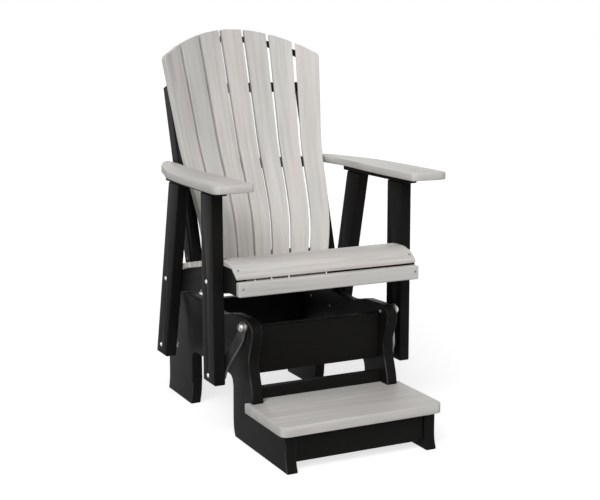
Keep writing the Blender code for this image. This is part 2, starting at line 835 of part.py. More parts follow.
def bolt_place(leg_front, slope, width, shares):
    """Where a leg bolt crosses its leg, in shares of the leg's width and the seat rail's height."""
    height = rail_rear_bottom + shares[1] * (rail_flat_top - rail_rear_bottom)
    return leg_front - slope * (height - rear_leg_bottom) + shares[0] * width, height


def leg_bolts(legs, rails):
    """Bolts that hold the seat rails to the legs."""
    for side, word in ((-1, "left"), (1, "right")):
        for end, point in (("front", bolt_place(front_leg_front, 0, front_leg_width, front_bolt_shares)),
                           ("rear", bolt_place(rear_leg_front_low, rear_leg_slope, rear_leg_width,
                                               rear_bolt_shares))):
            bolt("%s_leg_bolt_%s" % (end, word), side, point, leg_outer, rail_inner, chair_pivot)
            bore_through(legs[end, side], side, point, leg_inner, leg_outer)
            bore_through(rails[side], side, point, rail_inner, rail_outer)


panels = base_sides()
step_board()
base_boards()
legs = chair_legs()
for side, word in ((-1, "left"), (1, "right")):
    strap("front_strap_" + word, side, front_top_pivot, front_low_pivot, front_pivot, seat_gap)
    strap("rear_strap_" + word, side, rear_top_pivot, rear_low_pivot, rear_pivot, open_eye_play)
pivots(panels, legs)
rails = seat_rails()
rear_seat_slat(*seat_boards())
seat_cross_rails()
back_slats()
back_supports()
back_posts()
arms()
leg_bolts(legs, rails)
cut_bores()
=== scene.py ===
import json
import math

import bmesh
import bpy
import numpy as np
from mathutils import Matrix, Vector
from mathutils.bvhtree import BVHTree

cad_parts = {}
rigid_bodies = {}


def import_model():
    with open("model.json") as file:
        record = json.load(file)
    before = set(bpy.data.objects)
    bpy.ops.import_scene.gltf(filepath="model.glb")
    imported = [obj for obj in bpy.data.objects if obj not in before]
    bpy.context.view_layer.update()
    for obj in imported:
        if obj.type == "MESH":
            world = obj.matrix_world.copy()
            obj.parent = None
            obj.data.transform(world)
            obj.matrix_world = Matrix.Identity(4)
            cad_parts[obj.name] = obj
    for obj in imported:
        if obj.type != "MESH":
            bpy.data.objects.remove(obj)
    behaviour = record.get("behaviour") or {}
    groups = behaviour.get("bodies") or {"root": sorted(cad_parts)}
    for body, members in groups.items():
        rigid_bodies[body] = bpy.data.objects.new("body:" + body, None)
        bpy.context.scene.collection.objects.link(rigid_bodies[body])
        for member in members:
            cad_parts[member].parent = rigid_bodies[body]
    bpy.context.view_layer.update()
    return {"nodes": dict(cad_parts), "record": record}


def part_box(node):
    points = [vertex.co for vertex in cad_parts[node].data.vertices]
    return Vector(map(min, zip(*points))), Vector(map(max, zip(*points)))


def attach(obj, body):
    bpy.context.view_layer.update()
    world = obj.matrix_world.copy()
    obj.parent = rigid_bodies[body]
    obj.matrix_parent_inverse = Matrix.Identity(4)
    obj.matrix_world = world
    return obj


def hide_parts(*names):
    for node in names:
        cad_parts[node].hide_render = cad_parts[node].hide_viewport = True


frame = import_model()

nodeBody = {node: body for body, nodes in frame["record"]["behaviour"]["bodies"].items() for node in nodes}
originDepth = 0.5273  # world y is the depth behind the front feet less this


class Wire:
    def __init__(self, graph, socket):
        self.graph = graph
        self.socket = socket

    def math(self, operation, other, flip=False):
        pair = [other, self] if flip else [self, other]
        return self.graph.node(self.graph.mathType, {"operation": operation}, pair)

    def __add__(self, other):
        return self.math("ADD", other)

    def __radd__(self, other):
        return self.math("ADD", other, True)

    def __sub__(self, other):
        return self.math("SUBTRACT", other)

    def __rsub__(self, other):
        return self.math("SUBTRACT", other, True)

    def __mul__(self, other):
        return self.math("MULTIPLY", other)

    def __rmul__(self, other):
        return self.math("MULTIPLY", other, True)

    def __truediv__(self, other):
        return self.math("DIVIDE", other)

    def __rtruediv__(self, other):
        return self.math("DIVIDE", other, True)


class Graph:
    mathType = "ShaderNodeMath"

    def __init__(self, tree):
        self.tree = tree

    def node(self, kind, settings=None, sockets=None, out=0):
        # out is the number or the name of the output that is given back
        made = self.tree.nodes.new(kind)
        for key, value in (settings or {}).items():
            if key == "curve":
                line = made.mapping.curves[0].points
                while len(line) < len(value):
                    line.new(0.5, 0.5)
                for point, spot in zip(line, value):
                    point.location = spot
                    point.handle_type = "AUTO_CLAMPED"
                made.mapping.update()
            else:
                setattr(made, key, value)
        pairs = sockets.items() if isinstance(sockets, dict) else enumerate(sockets or [])
        for key, value in pairs:
            if isinstance(value, Wire):
                self.tree.links.new(value.socket, made.inputs[key])
            else:
                made.inputs[key].default_value = value
        return Wire(self, made.outputs[out])

    def math(self, operation, *values):
        return self.node(self.mathType, {"operation": operation}, list(values))

    def stretch(self, vector, scale):
        return self.node("ShaderNodeVectorMath", {"operation": "MULTIPLY"}, [vector, scale])

    def noise(self, vector, scale, detail=2.0, rough=0.5):
        return self.node("ShaderNodeTexNoise", {}, {
            "Vector": self.stretch(vector, scale), "Scale": 1.0, "Detail": detail, "Roughness": rough})

    def remap(self, value, low, high, start=0.0, end=1.0):
        return self.node("ShaderNodeMapRange", {"clamp": True}, {
            "Value": value, "From Min": low, "From Max": high, "To Min": start, "To Max": end})

    def blend(self, share, first, second):
        # the colour sockets of a Mix node are its inputs 6 and 7 and its output 2
        pair = [value if isinstance(value, Wire) else (*value, 1.0) for value in (first, second)]
        return self.node("ShaderNodeMix", {"data_type": "RGBA"}, {0: share, 6: pair[0], 7: pair[1]}, 2)


def newFinish(name, colour, shader):
    # a material with one Principled shader; shader holds the sockets that stay the same all over
    made = bpy.data.materials.new(name)
    made.use_nodes = True
    made.diffuse_color = (*colour, 1.0)
    graph = Graph(made.node_tree)
    principled = made.node_tree.nodes["Principled BSDF"]
    for key, value in shader.items():
        principled.inputs[key].default_value = value
    graph.principled = principled
    graph.material = made
    return graph


def sideways(graph):
    # 1 where a surface faces straight left or right, 0 where it faces along the chair or up
    normal = graph.node("ShaderNodeTexCoord", {}, None, "Normal")
    across = graph.node("ShaderNodeSeparateXYZ", {}, [normal], "X")
    return graph.math("ABSOLUTE", across)


def boardGrain(graph):
    # places lengthwise, crosswise and through the thickness, which each piece keeps on its points
    return graph.node("ShaderNodeAttribute", {"attribute_name": "grain"}, None, "Vector")


def feed(graph, **sockets):
    for key, wire in sockets.items():
        graph.tree.links.new(wire.socket, graph.principled.inputs[key.replace("_", " ")])


paleBoards = {
    "light": (0.625, 0.602, 0.580), "middle": (0.545, 0.524, 0.502), "dark": (0.385, 0.364, 0.345),
    "cool": (0.530, 0.528, 0.502), "warm": (0.580, 0.533, 0.512), "roughness": (0.50, 0.66), "relief": 0.0003,
    "sway": 0.012, "plainEnds": 0.85}  # how far the streaks wander, and how little the sawn ends show them


def makePaleFinish():
    look = paleBoards
    graph = newFinish("paleGrainPoly", look["middle"], {"Specular IOR Level": 0.15})
    grain = boardGrain(graph)
    bend = graph.node("ShaderNodeTexNoise", {}, {"Vector": grain, "Scale": 2.4, "Detail": 1.0}, "Color")
    sway = graph.node("ShaderNodeVectorMath", {"operation": "SUBTRACT"}, [bend, (0.5, 0.5, 0.5)])
    sway = graph.stretch(sway, (0.0, look["sway"], 0.0))
    grain = graph.node("ShaderNodeVectorMath", {"operation": "ADD"}, [grain, sway])
    sawn = graph.node("ShaderNodeAttribute", {"attribute_name": "sawn"}, None, "Fac")
    along = 1.0 - sawn * look["plainEnds"]
    broad = graph.noise(grain, (1.4, 24.0, 24.0), 1.0)
    streak = graph.noise(grain, (3.4, 78.0, 55.0), 2.0, 0.5)
    fine = graph.noise(grain, (7.0, 260.0, 160.0), 2.0, 0.5)
    hue = graph.noise(grain, (0.9, 9.0, 6.0), 1.0)
    body = graph.blend(graph.remap(broad, 0.36, 0.62), look["middle"], look["light"])
    tinted = graph.blend(graph.remap(hue, 0.46, 0.62, 0.0, 0.70), body, look["cool"])
    warmed = graph.blend(graph.remap(hue, 0.46, 0.32, 0.0, 0.60), tinted, look["warm"])
    veined = graph.blend(graph.remap(streak, 0.49, 0.68, 0.0, 0.36) * along, warmed, look["dark"])
    combed = graph.blend(graph.remap(fine, 0.50, 0.72, 0.0, 0.10) * along, veined, look["dark"])
    pale = graph.blend(graph.remap(streak, 0.46, 0.34, 0.0, 0.30) * along, combed, look["light"])
    low, high = look["roughness"]
    rough = graph.remap(streak * 0.6 + fine * 0.4, 0.35, 0.65, high, low)
    bump = graph.node("ShaderNodeBump", {}, {
        "Strength": 0.35, "Distance": look["relief"], "Height": streak * 0.45 + fine * 0.55})
    feed(graph, Base_Color=pale, Roughness=rough, Normal=bump)
    return graph.material


# rim is a light colour painted on rounded edges, a painted highlight standing in for the light caught there
blackBoards = {
    "deep": (0.0060, 0.0058, 0.0054), "worn": (0.0074, 0.0071, 0.0066), "rim": (0.085, 0.084, 0.080),
    "roughness": (0.48, 0.54), "relief": 0.0002}


def makeBlackFinish(name, highlightShare):
    # the share given is how strongly the rounded edges of a cut-out side are painted light, a painted
    # highlight in patches
    look = blackBoards
    graph = newFinish(name, look["deep"], {"Specular IOR Level": 0.05})
    grain = boardGrain(graph)
    cloud = graph.noise(grain, (2.0, 8.0, 8.0), 2.0)
    drag = graph.noise(grain, (8.0, 190.0, 190.0), 2.0, 0.6)
    pebble = graph.noise(grain, (620.0, 620.0, 620.0), 1.0)
    colour = graph.blend(graph.remap(cloud * 0.6 + drag * 0.4, 0.38, 0.64), look["deep"], look["worn"])
    if highlightShare:
        # painted highlight: the rim colour laid on the rounded edges, broken into patches by the cloud noise
        slant = sideways(graph)
        onEdge = graph.remap(slant, 0.18, 0.45) * graph.remap(slant, 0.97, 0.85)
        colour = graph.blend(onEdge * graph.remap(cloud, 0.40, 0.55) * highlightShare, colour, look["rim"])
    low, high = look["roughness"]
    rough = graph.remap(drag * 0.5 + cloud * 0.5, 0.35, 0.65, low, high)
    height = pebble * 0.7 + drag * 0.3
    bump = graph.node("ShaderNodeBump", {}, {"Strength": 0.30, "Distance": look["relief"], "Height": height})
    feed(graph, Base_Color=colour, Roughness=rough, Normal=bump)
    return graph.material


def makeSteelFinish(name, bright, dull, roughness):
    graph = newFinish(name, bright, {"Metallic": 1.0})
    spot = graph.node("ShaderNodeTexCoord", {}, None, "Object")
    turned = graph.noise(spot, (260.0, 900.0, 900.0), 2.0)
    stain = graph.noise(spot, (60.0, 60.0, 60.0), 2.0)
    colour = graph.blend(graph.remap(stain, 0.40, 0.65), bright, dull)
    rough = graph.remap(turned, 0.35, 0.65, *roughness)
    bump = graph.node("ShaderNodeBump", {}, {"Strength": 0.15, "Distance": 0.0001, "Height": turned})
    feed(graph, Base_Color=colour, Roughness=rough, Normal=bump)
    return graph.material


# rim is a bright colour painted on the bar's edges, a painted highlight
hangerSteel = {
    "face": (0.040, 0.040, 0.039), "patch": (0.075, 0.074, 0.072), "rim": (0.33, 0.33, 0.32),
    "roughness": (0.34, 0.50), "faceMetal": 0.35}


def makeHangerFinish():
    # flat bar: dark brushed faces, with bright metal painted along its edges as a painted highlight
    look = hangerSteel
    graph = newFinish("darkHangerSteel", look["face"], {})
    grain = boardGrain(graph)
    brushed = graph.noise(grain, (12.0, 300.0, 300.0), 3.0, 0.6)
    patch = graph.noise(grain, (25.0, 40.0, 40.0), 2.0)
    # painted highlight: the edges of the bar get the bright rim colour and full metal
    paintedEdgeHighlight = graph.remap(sideways(graph), 0.80, 0.60)
    colour = graph.blend(graph.remap(brushed * 0.6 + patch * 0.4, 0.38, 0.62), look["face"], look["patch"])
    highlightedColour = graph.blend(paintedEdgeHighlight, colour, look["rim"])
    rough = graph.remap(brushed, 0.35, 0.65, *look["roughness"])
    metal = graph.remap(paintedEdgeHighlight, 0.0, 1.0, look["faceMetal"], 1.0)
    bump = graph.node("ShaderNodeBump", {}, {"Strength": 0.20, "Distance": 0.0002, "Height": brushed})
    feed(graph, Base_Color=highlightedColour, Roughness=rough, Metallic=metal, Normal=bump)
    return graph.material


# Every piece is finished in one of these
finishes = {
    "pale": makePaleFinish(), "black": makeBlackFinish("blackSatinPoly", 0.0),
    "panel": makeBlackFinish("blackRoutedPolyPaintedHighlight", 0.5),
    "steel": makeSteelFinish("stainlessSteel", (0.66, 0.655, 0.645), (0.56, 0.555, 0.545), (0.20, 0.36)),
    "screw": makeSteelFinish("dullScrewSteel", (0.30, 0.295, 0.285), (0.16, 0.157, 0.152), (0.26, 0.44)),
    "hanger": makeHangerFinish()}
print("finishes:", ", ".join(finishes))


def linkPiece(name, mesh):
    made = bpy.data.objects.new(name, mesh)
    bpy.context.scene.collection.objects.link(made)
    return made


def settle(made):
    # turns an object with its modifiers into a plain mesh object of the same name
    bpy.context.view_layer.update()
    depsgraph = bpy.context.evaluated_depsgraph_get()
    mesh = bpy.data.meshes.new_from_object(made.evaluated_get(depsgraph), depsgraph=depsgraph)
    name = made.name
    bpy.data.objects.remove(made)
    mesh.name = name
    return linkPiece(name, mesh)


def fitOut(piece, finish, body, nodes=()):
    # gives a finished piece its material and its body, and hides the CAD nodes that it stands for
    piece.data.materials.clear()
    piece.data.materials.append(finishes[finish])
    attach(piece, body)
    if nodes:
        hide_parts(*nodes)
    return piece


def addEdges(made, width, segments):
    rounding = made.modifiers.new("edges", "BEVEL")
    rounding.width = width
    rounding.segments = segments
    rounding.limit_method = "ANGLE"
    rounding.angle_limit = boards["edgeAngle"]
    rounding.harden_normals = True
    made.data.shade_smooth()


def meshPoints(mesh):
    points = np.zeros(len(mesh.vertices) * 3)
    mesh.vertices.foreach_get("co", points)
    return points.reshape(-1, 3)


def setGrain(mesh, grain):
    layer = mesh.attributes.new("grain", "FLOAT_VECTOR", "POINT")
    layer.data.foreach_set("vector", np.ascontiguousarray(grain, dtype=np.float32).ravel())


def storeGrain(mesh, seed):
    # lengthwise, crosswise and through-thickness places of a board's points, for its grain
    points = meshPoints(mesh)
    low, high = points.min(0), points.max(0)
    centred = points - (low + high) / 2
    axes = np.linalg.eigh(centred.T @ centred)[1][:, ::-1]
    axes *= np.sign(axes[np.abs(axes).argmax(0), range(3)])
    grain = centred @ axes + np.array(boards["grainStep"]) * (seed + 1)
    setGrain(mesh, grain)
    markSawn(mesh, axes[:, 0])


def markSawn(mesh, length):
    # the faces across a board's length, which show no streaks
    sawn = [float(abs(face.normal.dot(Vector(length))) > boards["squareTo"]) for face in mesh.polygons]
    mesh.attributes.new("sawn", "FLOAT", "FACE").data.foreach_set("value", sawn)


# The boards that keep the shapes of their solids, but for rounded edges and what is said here
boards = {
    "merge": 0.00002, "flat": math.radians(0.2), "edgeAngle": math.radians(24), "squareTo": 0.7,
    "grainStep": (1.7, 0.61, 0.37),  # between one board's grain and the next one's
    "edges": {"pale": (0.0030, 4), "black": (0.0013, 2), "panel": (0.0020, 3)},  # round of the edges, steps
    "arms": {"edge": (0.0050, 5), "corner": 0.009, "cornerSteps": 9},
    "posts": {"wider": 0.0240, "topDrop": 0.0120, "facing": 0.8},
    "frontRail": {"bottom": 0.4970}}


def trim(shape, point, normal):
    # cuts off what lies beyond a plane and closes the cut
    parts = shape.verts[:] + shape.edges[:] + shape.faces[:]
    cut = bmesh.ops.bisect_plane(shape, geom=parts, plane_co=point, plane_no=normal, clear_outer=True)
    bmesh.ops.contextual_create(shape, geom=[e for e in cut["geom_cut"] if isinstance(e, bmesh.types.BMEdge)])


def widenPost(shape):
    # the back's posts are deeper boards than their solids, sawn square across their tops
    plan = boards["posts"]
    fronts = [f for f in shape.faces if f.normal.y < -plan["facing"]]
    ahead = max(fronts, key=lambda f: f.calc_area()).normal.copy()
    # walls made one by one, because the extrude operator gives its faces in another order each run
    corners = dict.fromkeys(v for f in fronts for v in f.verts)
    moved = {v: shape.verts.new(v.co + ahead * plan["wider"]) for v in corners}
    rim = [r for f in fronts for r in f.loops if sum(g in fronts for g in r.edge.link_faces) == 1]
    for first, second in [(r.vert, r.link_loop_next.vert) for r in rim]:
        shape.faces.new((first, second, moved[second], moved[first]))
    for face in fronts:
        shape.faces.new([moved[v] for v in face.verts])
    bmesh.ops.delete(shape, geom=fronts, context="FACES")
    rear = max(v.co.y for v in shape.verts)
    top = max(v.co.z for v in shape.verts if v.co.y > rear - 0.004)
    trim(shape, (0, rear, top - plan["topDrop"]), (0, ahead.z, -ahead.y))


def roundArm(shape):
    # the two front corners of an arm, as seen from above
    plan = boards["arms"]
    front = min(v.co.y for v in shape.verts)
    uprights = [e for e in shape.edges if abs(e.verts[0].co.z - e.verts[1].co.z) > 0.9 * e.calc_length()
                and max(v.co.y for v in e.verts) < front + 0.010]
    bmesh.ops.bevel(shape, geom=uprights, offset=plan["corner"], segments=plan["cornerSteps"], profile=0.5,
                    affect="EDGES", clamp_overlap=True)


def dressBoard(node, finish, seed):
    # the CAD board, merged into clean faces, with its sawn edges rounded off and its grain laid along it
    shape = bmesh.new()
    shape.from_mesh(frame["nodes"][node].data)
    bmesh.ops.remove_doubles(shape, verts=shape.verts, dist=boards["merge"])
    bmesh.ops.dissolve_limit(shape, angle_limit=boards["flat"], verts=shape.verts, edges=shape.edges)
    edge = boards["edges"][finish]
    if node.startswith("back_post"):
        widenPost(shape)
    if node.startswith("armrest"):
        roundArm(shape)
        edge = boards["arms"]["edge"]
    if node == "seat_front_rail":
        trim(shape, (0, 0, boards["frontRail"]["bottom"]), (0, 0, -1))
    bmesh.ops.recalc_face_normals(shape, faces=shape.faces)
    mesh = bpy.data.meshes.new(node)
    shape.to_mesh(mesh)
    shape.free()
    mesh.materials.clear()
    board = linkPiece(node + ".board", mesh)
    addEdges(board, *edge)
    board = settle(board)
    storeGrain(board.data, seed)
    return fitOut(board, finish, nodeBody[node], [node])


def at(across, depth, height):
    return (across, depth - originDepth, height)


def newTree(name, sizes, counts=()):
    # a Geometry Nodes group with named inputs; gives the tree, its graph and the inputs as wires
    tree = bpy.data.node_groups.new(name, "GeometryNodeTree")
    tree.interface.new_socket("Geometry", in_out="INPUT", socket_type="NodeSocketGeometry")
    for key in sizes:
        tree.interface.new_socket(key, in_out="INPUT", socket_type="NodeSocketFloat")
    for key in counts:
        tree.interface.new_socket(key, in_out="INPUT", socket_type="NodeSocketInt")
    tree.interface.new_socket("Finish", in_out="INPUT", socket_type="NodeSocketMaterial")
    tree.interface.new_socket("Geometry", in_out="OUTPUT", socket_type="NodeSocketGeometry")
    graph = Graph(tree)
    group = tree.nodes.new("NodeGroupInput")
    return graph, {socket.name: Wire(graph, socket) for socket in group.outputs if socket.name}


def endTree(graph, shape, given):
    # every tree ends in real geometry with its finish set
    real = graph.node("GeometryNodeRealizeInstances", {}, {"Geometry": shape})
    done = graph.node("GeometryNodeSetMaterial", {}, {"Geometry": real, "Material": given["Finish"]})
    end = graph.tree.nodes.new("NodeGroupOutput")
    graph.tree.links.new(done.socket, end.inputs[0])
    return graph.tree


def hangTree(made, tree, values):
    change = made.modifiers.new(tree.name, "NODES")
    change.node_group = tree
    keys = {item.name: item.identifier for item in tree.interface.items_tree if item.in_out == "INPUT"}
    for key, value in values.items():
        change[keys[key]] = value


# The fan back: seven slats across one hollow, leaning surface. Low and Rise are where its line starts and
# how far it climbs, Foot Drop is how far the slats reach below that, and the shares run up the line.
# In this and the other pieces made by a tree, a key with a capital is one of the tree's inputs.
fan = {
    "Slats": 7, "Rows": 64, "Columns": 9, "Low Gap": 0.0068, "High Gap": 0.0104, "Thickness": 0.0205,
    "Foot Drop": 0.0600, "Low": 0.5000, "Rise": 0.8220, "Front": 0.7440, "Reach": 0.2720, "Curve": 0.5180,
    "Low Half": 0.2330, "High Half": 0.3129, "Arch": 0.5210, "edge": (0.0026, 4), "corner": (0.0110, 8),
    "line": ((0.000, 0.000), (0.041, 0.004), (0.127, 0.022), (0.204, 0.061), (0.279, 0.141), (0.350, 0.237),
             (0.421, 0.346), (0.507, 0.468), (0.631, 0.603), (0.742, 0.725), (0.866, 0.855), (1.000, 1.000)),
    "hollow": ((0.000, 1.000), (0.041, 1.000), (0.421, 1.363), (0.745, 1.089), (0.961, 0.985),
               (1.000, 0.970)),
    "hollowScale": 1.4, "meanHollow": 1.3, "slatStep": (1.93, 0.41, 0.23), "upright": (0, 0.31, 0.95)}


def treeInputs(piece, finish):
    return {**{key: value for key, value in piece.items() if key[0].isupper()}, "Finish": finishes[finish]}


def fanHalf(share):
    # half the fan's width at a share of its rise
    return fan["Low Half"] + share * (fan["High Half"] - fan["Low Half"])


def fanTree():
    sizes = ("Low Gap", "High Gap", "Thickness", "Foot Drop", "Low", "Rise", "Front", "Reach", "Curve",
             "Low Half", "High Half", "Arch")
    graph, given = newTree("fanBack", sizes, ("Slats", "Rows", "Columns"))
    whole = given["Rise"] + given["Foot Drop"]
    lift = fan["Foot Drop"] / (fan["Rise"] + fan["Foot Drop"])
    step = graph.node("ShaderNodeCombineXYZ", {}, [1.0, 0.0, 0.0])
    row = graph.node("GeometryNodeMeshLine", {}, {"Count": given["Slats"], "Offset": step})
    blank = graph.node("GeometryNodeMeshCube", {}, {
        "Size": (0.5, 1.0, 1.0), "Vertices X": given["Columns"], "Vertices Y": 2,
        "Vertices Z": given["Rows"]})
    slats = graph.node("GeometryNodeInstanceOnPoints", {}, {"Points": row, "Instance": blank})
    loose = graph.node("GeometryNodeRealizeInstances", {}, {"Geometry": slats})
    spot = graph.node("GeometryNodeInputPosition")
    parts = graph.tree.nodes.new("ShaderNodeSeparateXYZ")
    graph.tree.links.new(spot.socket, parts.inputs[0])
    x, y, z = (Wire(graph, socket) for socket in parts.outputs)
    number = graph.math("FLOOR", x + 0.5)
    over = (x - number) * 2.0 + 0.5  # 0 on a slat's left edge, 1 on its right
    rear = graph.math("GREATER_THAN", y, 0.0)
    top = given["Low"] + given["Rise"]
    floor = given["Low"] - given["Foot Drop"]

    def climb(height, low, high):
        return low + (height - given["Low"]) / given["Rise"] * (high - low)

    def shareLine(height, stops, scale):
        # the curve node starts at the slats' feet and holds nothing above 1
        share = (height - given["Low"] + given["Foot Drop"]) / whole
        raised = [(lift + up * (1 - lift), value / scale) for up, value in stops]
        curve = [(0.0, stops[0][1] / scale)] + raised
        return graph.node("ShaderNodeFloatCurve", {"curve": curve}, {"Value": share}) * scale

    def lineDepth(height):
        return given["Front"] + given["Reach"] * shareLine(height, fan["line"], 1.0)

    def edgeAcross(height, side):
        share = (number + side) * 2.0 / given["Slats"] - 1.0
        inset = climb(height, given["Low Gap"], given["High Gap"]) * (0.5 - side)
        return share * climb(height, given["Low Half"], given["High Half"]) + inset

    def between(left, right):
        return left + over * (right - left)

    outer = between(edgeAcross(top, 0.0), edgeAcross(top, 1.0))
    ceiling = top - outer * outer / (2.0 * given["Arch"])
    height = floor + (z + 0.5) * (ceiling - floor)
    left, right = edgeAcross(height, 0.0), edgeAcross(height, 1.0)
    bow = 2.0 * given["Curve"] * shareLine(height, fan["hollow"], fan["hollowScale"])
    leftDepth, rightDepth = (lineDepth(height) - edge * edge / bow - originDepth for edge in (left, right))
    tilt = graph.node("ShaderNodeCombineXYZ", {}, [
        0.0, lineDepth(height + given["Thickness"]) - lineDepth(height - given["Thickness"]),
        2.0 * given["Thickness"]])
    breadth = graph.node("ShaderNodeCombineXYZ", {}, [right - left, rightDepth - leftDepth, 0.0])
    outwards = graph.node("ShaderNodeVectorMath", {"operation": "CROSS_PRODUCT"}, [tilt, breadth])
    normal = graph.node("ShaderNodeVectorMath", {"operation": "NORMALIZE"}, [outwards])
    face = graph.node("ShaderNodeCombineXYZ", {}, [
        between(left, right), between(leftDepth, rightDepth), height])
    back = graph.node("ShaderNodeVectorMath", {"operation": "SCALE"}, {
        "Vector": normal, "Scale": rear * given["Thickness"]})
    placed = graph.node("ShaderNodeVectorMath", {"operation": "ADD"}, [face, back])
    bent = graph.node("GeometryNodeSetPosition", {}, {"Geometry": loose, "Position": placed})
    return endTree(graph, bent, given)


def makeFan():
    holder = linkPiece("fanBack", bpy.data.meshes.new("fanBack"))
    hangTree(holder, fanTree(), treeInputs(fan, "pale"))
    holder = settle(holder)
    shape = bmesh.new()
    shape.from_mesh(holder.data)
    bmesh.ops.remove_doubles(shape, verts=shape.verts, dist=boards["merge"])
    corners = []
    for side in (-1, 1):
        pair = sorted(shape.verts, key=lambda v: -(v.co.z + side * v.co.x))[:2]
        corners += [e for e in shape.edges if set(e.verts) == set(pair)]
    radius, steps = fan["corner"]
    bmesh.ops.bevel(shape, geom=corners, offset=radius, segments=steps, profile=0.5, affect="EDGES",
                    clamp_overlap=True)
    bmesh.ops.recalc_face_normals(shape, faces=shape.faces)
    shape.to_mesh(holder.data)
    shape.free()
    addEdges(holder, *fan["edge"])
    holder = settle(holder)
    # the grain runs up each slat, and starts in another place on each
    points = meshPoints(holder.data)
    share = (points[:, 2] - fan["Low"]) / fan["Rise"]
    half = fanHalf(share)
    slat = np.clip(np.floor((points[:, 0] / half + 1) / 2 * fan["Slats"]), 0, fan["Slats"] - 1)
    centre = ((slat + 0.5) * 2 / fan["Slats"] - 1) * half
    line = fan["Front"] - originDepth + fan["Reach"] * np.interp(share, *zip(*fan["line"]))
    behind = points[:, 1] - line + points[:, 0] ** 2 / (2 * fan["meanHollow"] * fan["Curve"])
    grain = np.stack([points[:, 2], points[:, 0] - centre, behind * 0.5], 1)
    setGrain(holder.data, grain + slat[:, None] * np.array(fan["slatStep"]))
    markSawn(holder.data, fan["upright"])
    fitOut(holder, "pale", "chair", ["back_slat_%d" % (n + 1) for n in range(fan["Slats"])])
    print("fan back:", len(holder.data.polygons), "faces")


# The three like slats in the slope of the seat. Start and end are depths and heights of the rails' top line.
seatRun = {
    "Slats": 3, "Pitch": 0.0914, "Width": 0.0864, "Thickness": 0.0193, "Span": 0.6452, "edge": (0.0030, 4),
    "start": (0.3670, 0.5889), "end": (0.8080, 0.4951), "gap": 0.0050, "rest": 0.0003,
    "slatStep": (1.31, 0.47, 0.19)}


def seatTree():
    graph, given = newTree("seatSlats", ("Pitch", "Width", "Thickness", "Span"), ("Slats",))
    step = graph.node("ShaderNodeCombineXYZ", {}, [0.0, given["Pitch"], 0.0])
    row = graph.node("GeometryNodeMeshLine", {}, {"Count": given["Slats"], "Offset": step})
    size = graph.node("ShaderNodeCombineXYZ", {}, [given["Span"], given["Width"], given["Thickness"]])
    slat = graph.node("GeometryNodeMeshCube", {}, {"Size": size})
    seated = graph.node("GeometryNodeTransform", {}, {"Geometry": slat, "Translation": graph.node(
        "ShaderNodeCombineXYZ", {}, [0.0, given["Width"] * 0.5, given["Thickness"] * 0.5])})
    slats = graph.node("GeometryNodeInstanceOnPoints", {}, {"Points": row, "Instance": seated})
    return endTree(graph, slats, given)


def seatLine():
    # the start of the seat's slope, the way down it and the way up from it
    start, end = seatRun["start"], seatRun["end"]
    slope = Vector((0, end[0] - start[0], end[1] - start[1])).normalized()
    return Vector(at(0.0, *start)), slope, Vector((0, -slope.z, slope.y))


def makeSeatSlats():
    run = seatRun
    start, slope, _ = seatLine()
    holder = linkPiece("seatSlats", bpy.data.meshes.new("seatSlats"))
    hangTree(holder, seatTree(), treeInputs(run, "pale"))
    addEdges(holder, *run["edge"])
    holder = settle(holder)
    points = meshPoints(holder.data)
    slat = np.floor(points[:, 1] / run["Pitch"])
    setGrain(holder.data, points + slat[:, None] * np.array(run["slatStep"]))
    markSawn(holder.data, (1, 0, 0))
    lie = Matrix.Rotation(math.atan2(slope.z, slope.y), 4, "X")
    shift = Matrix.Translation(start + slope * run["gap"] / 2)
    holder.data.transform(shift @ lie @ Matrix.Translation((0, 0, run["rest"])))
    fitOut(holder, "pale", "chair", ["seat_slat_%d" % (n + 2) for n in range(run["Slats"])])
    print("seat slats:", run["Slats"])


def joinLoops(shape, loops):
    # walls between neighbouring loops of equal length
    for first, second in zip(loops, loops[1:]):
        for i in range(len(first)):
            j = (i + 1) % len(first)
            shape.faces.new((first[i], first[j], second[j], second[i]))


def turnedPart(shape, profile, start, along, sides, turn=0.0):
    # a round or many-sided solid; the profile gives its radius at distances from its start
    along = Vector(along).normalized()
    side = along.orthogonal().normalized()
    other = along.cross(side)
    loops = []
    for distance, radius in profile:
        centre = Vector(start) + along * distance
        loops.append([shape.verts.new(centre + radius * (math.cos(a) * side + math.sin(a) * other))
                      for a in (turn + 2 * math.pi * k / sides for k in range(sides))])
    joinLoops(shape, loops)
    shape.faces.new(reversed(loops[0]))
    shape.faces.new(loops[-1])


# The hanger straps. Bends are given down each strap from its upper pivot, the inner and the hub faces across
# from the middle of the chair.
straps = {
    "width": 0.0410, "thickness": 0.0064, "bendStart": 0.0220, "bendEnd": 0.1700, "easedShare": 0.28,
    "bendSteps": 40, "endSteps": 16, "tip": 0.03, "topInner": 0.2732, "lowInner": 0.3068, "edge": (0.0009, 2),
    "hubRadius": 0.0150, "hubProud": 0.0020, "hubChamfer": 0.0010, "hubSides": 56,
    "topFace": 0.2654, "lowFace": 0.3230}


def slant(t):
    # how far a strap has moved out at a share of its bend, and how steeply: eased, straight, eased
    eased = straps["easedShare"]
    steep = 1 / (1 - eased)
    if t < eased:
        return steep * t * t / (2 * eased), steep * t / eased
    if t > 1 - eased:
        return 1 - steep * (1 - t) ** 2 / (2 * eased), steep * (1 - t) / eased
    return steep * (t - eased / 2), steep


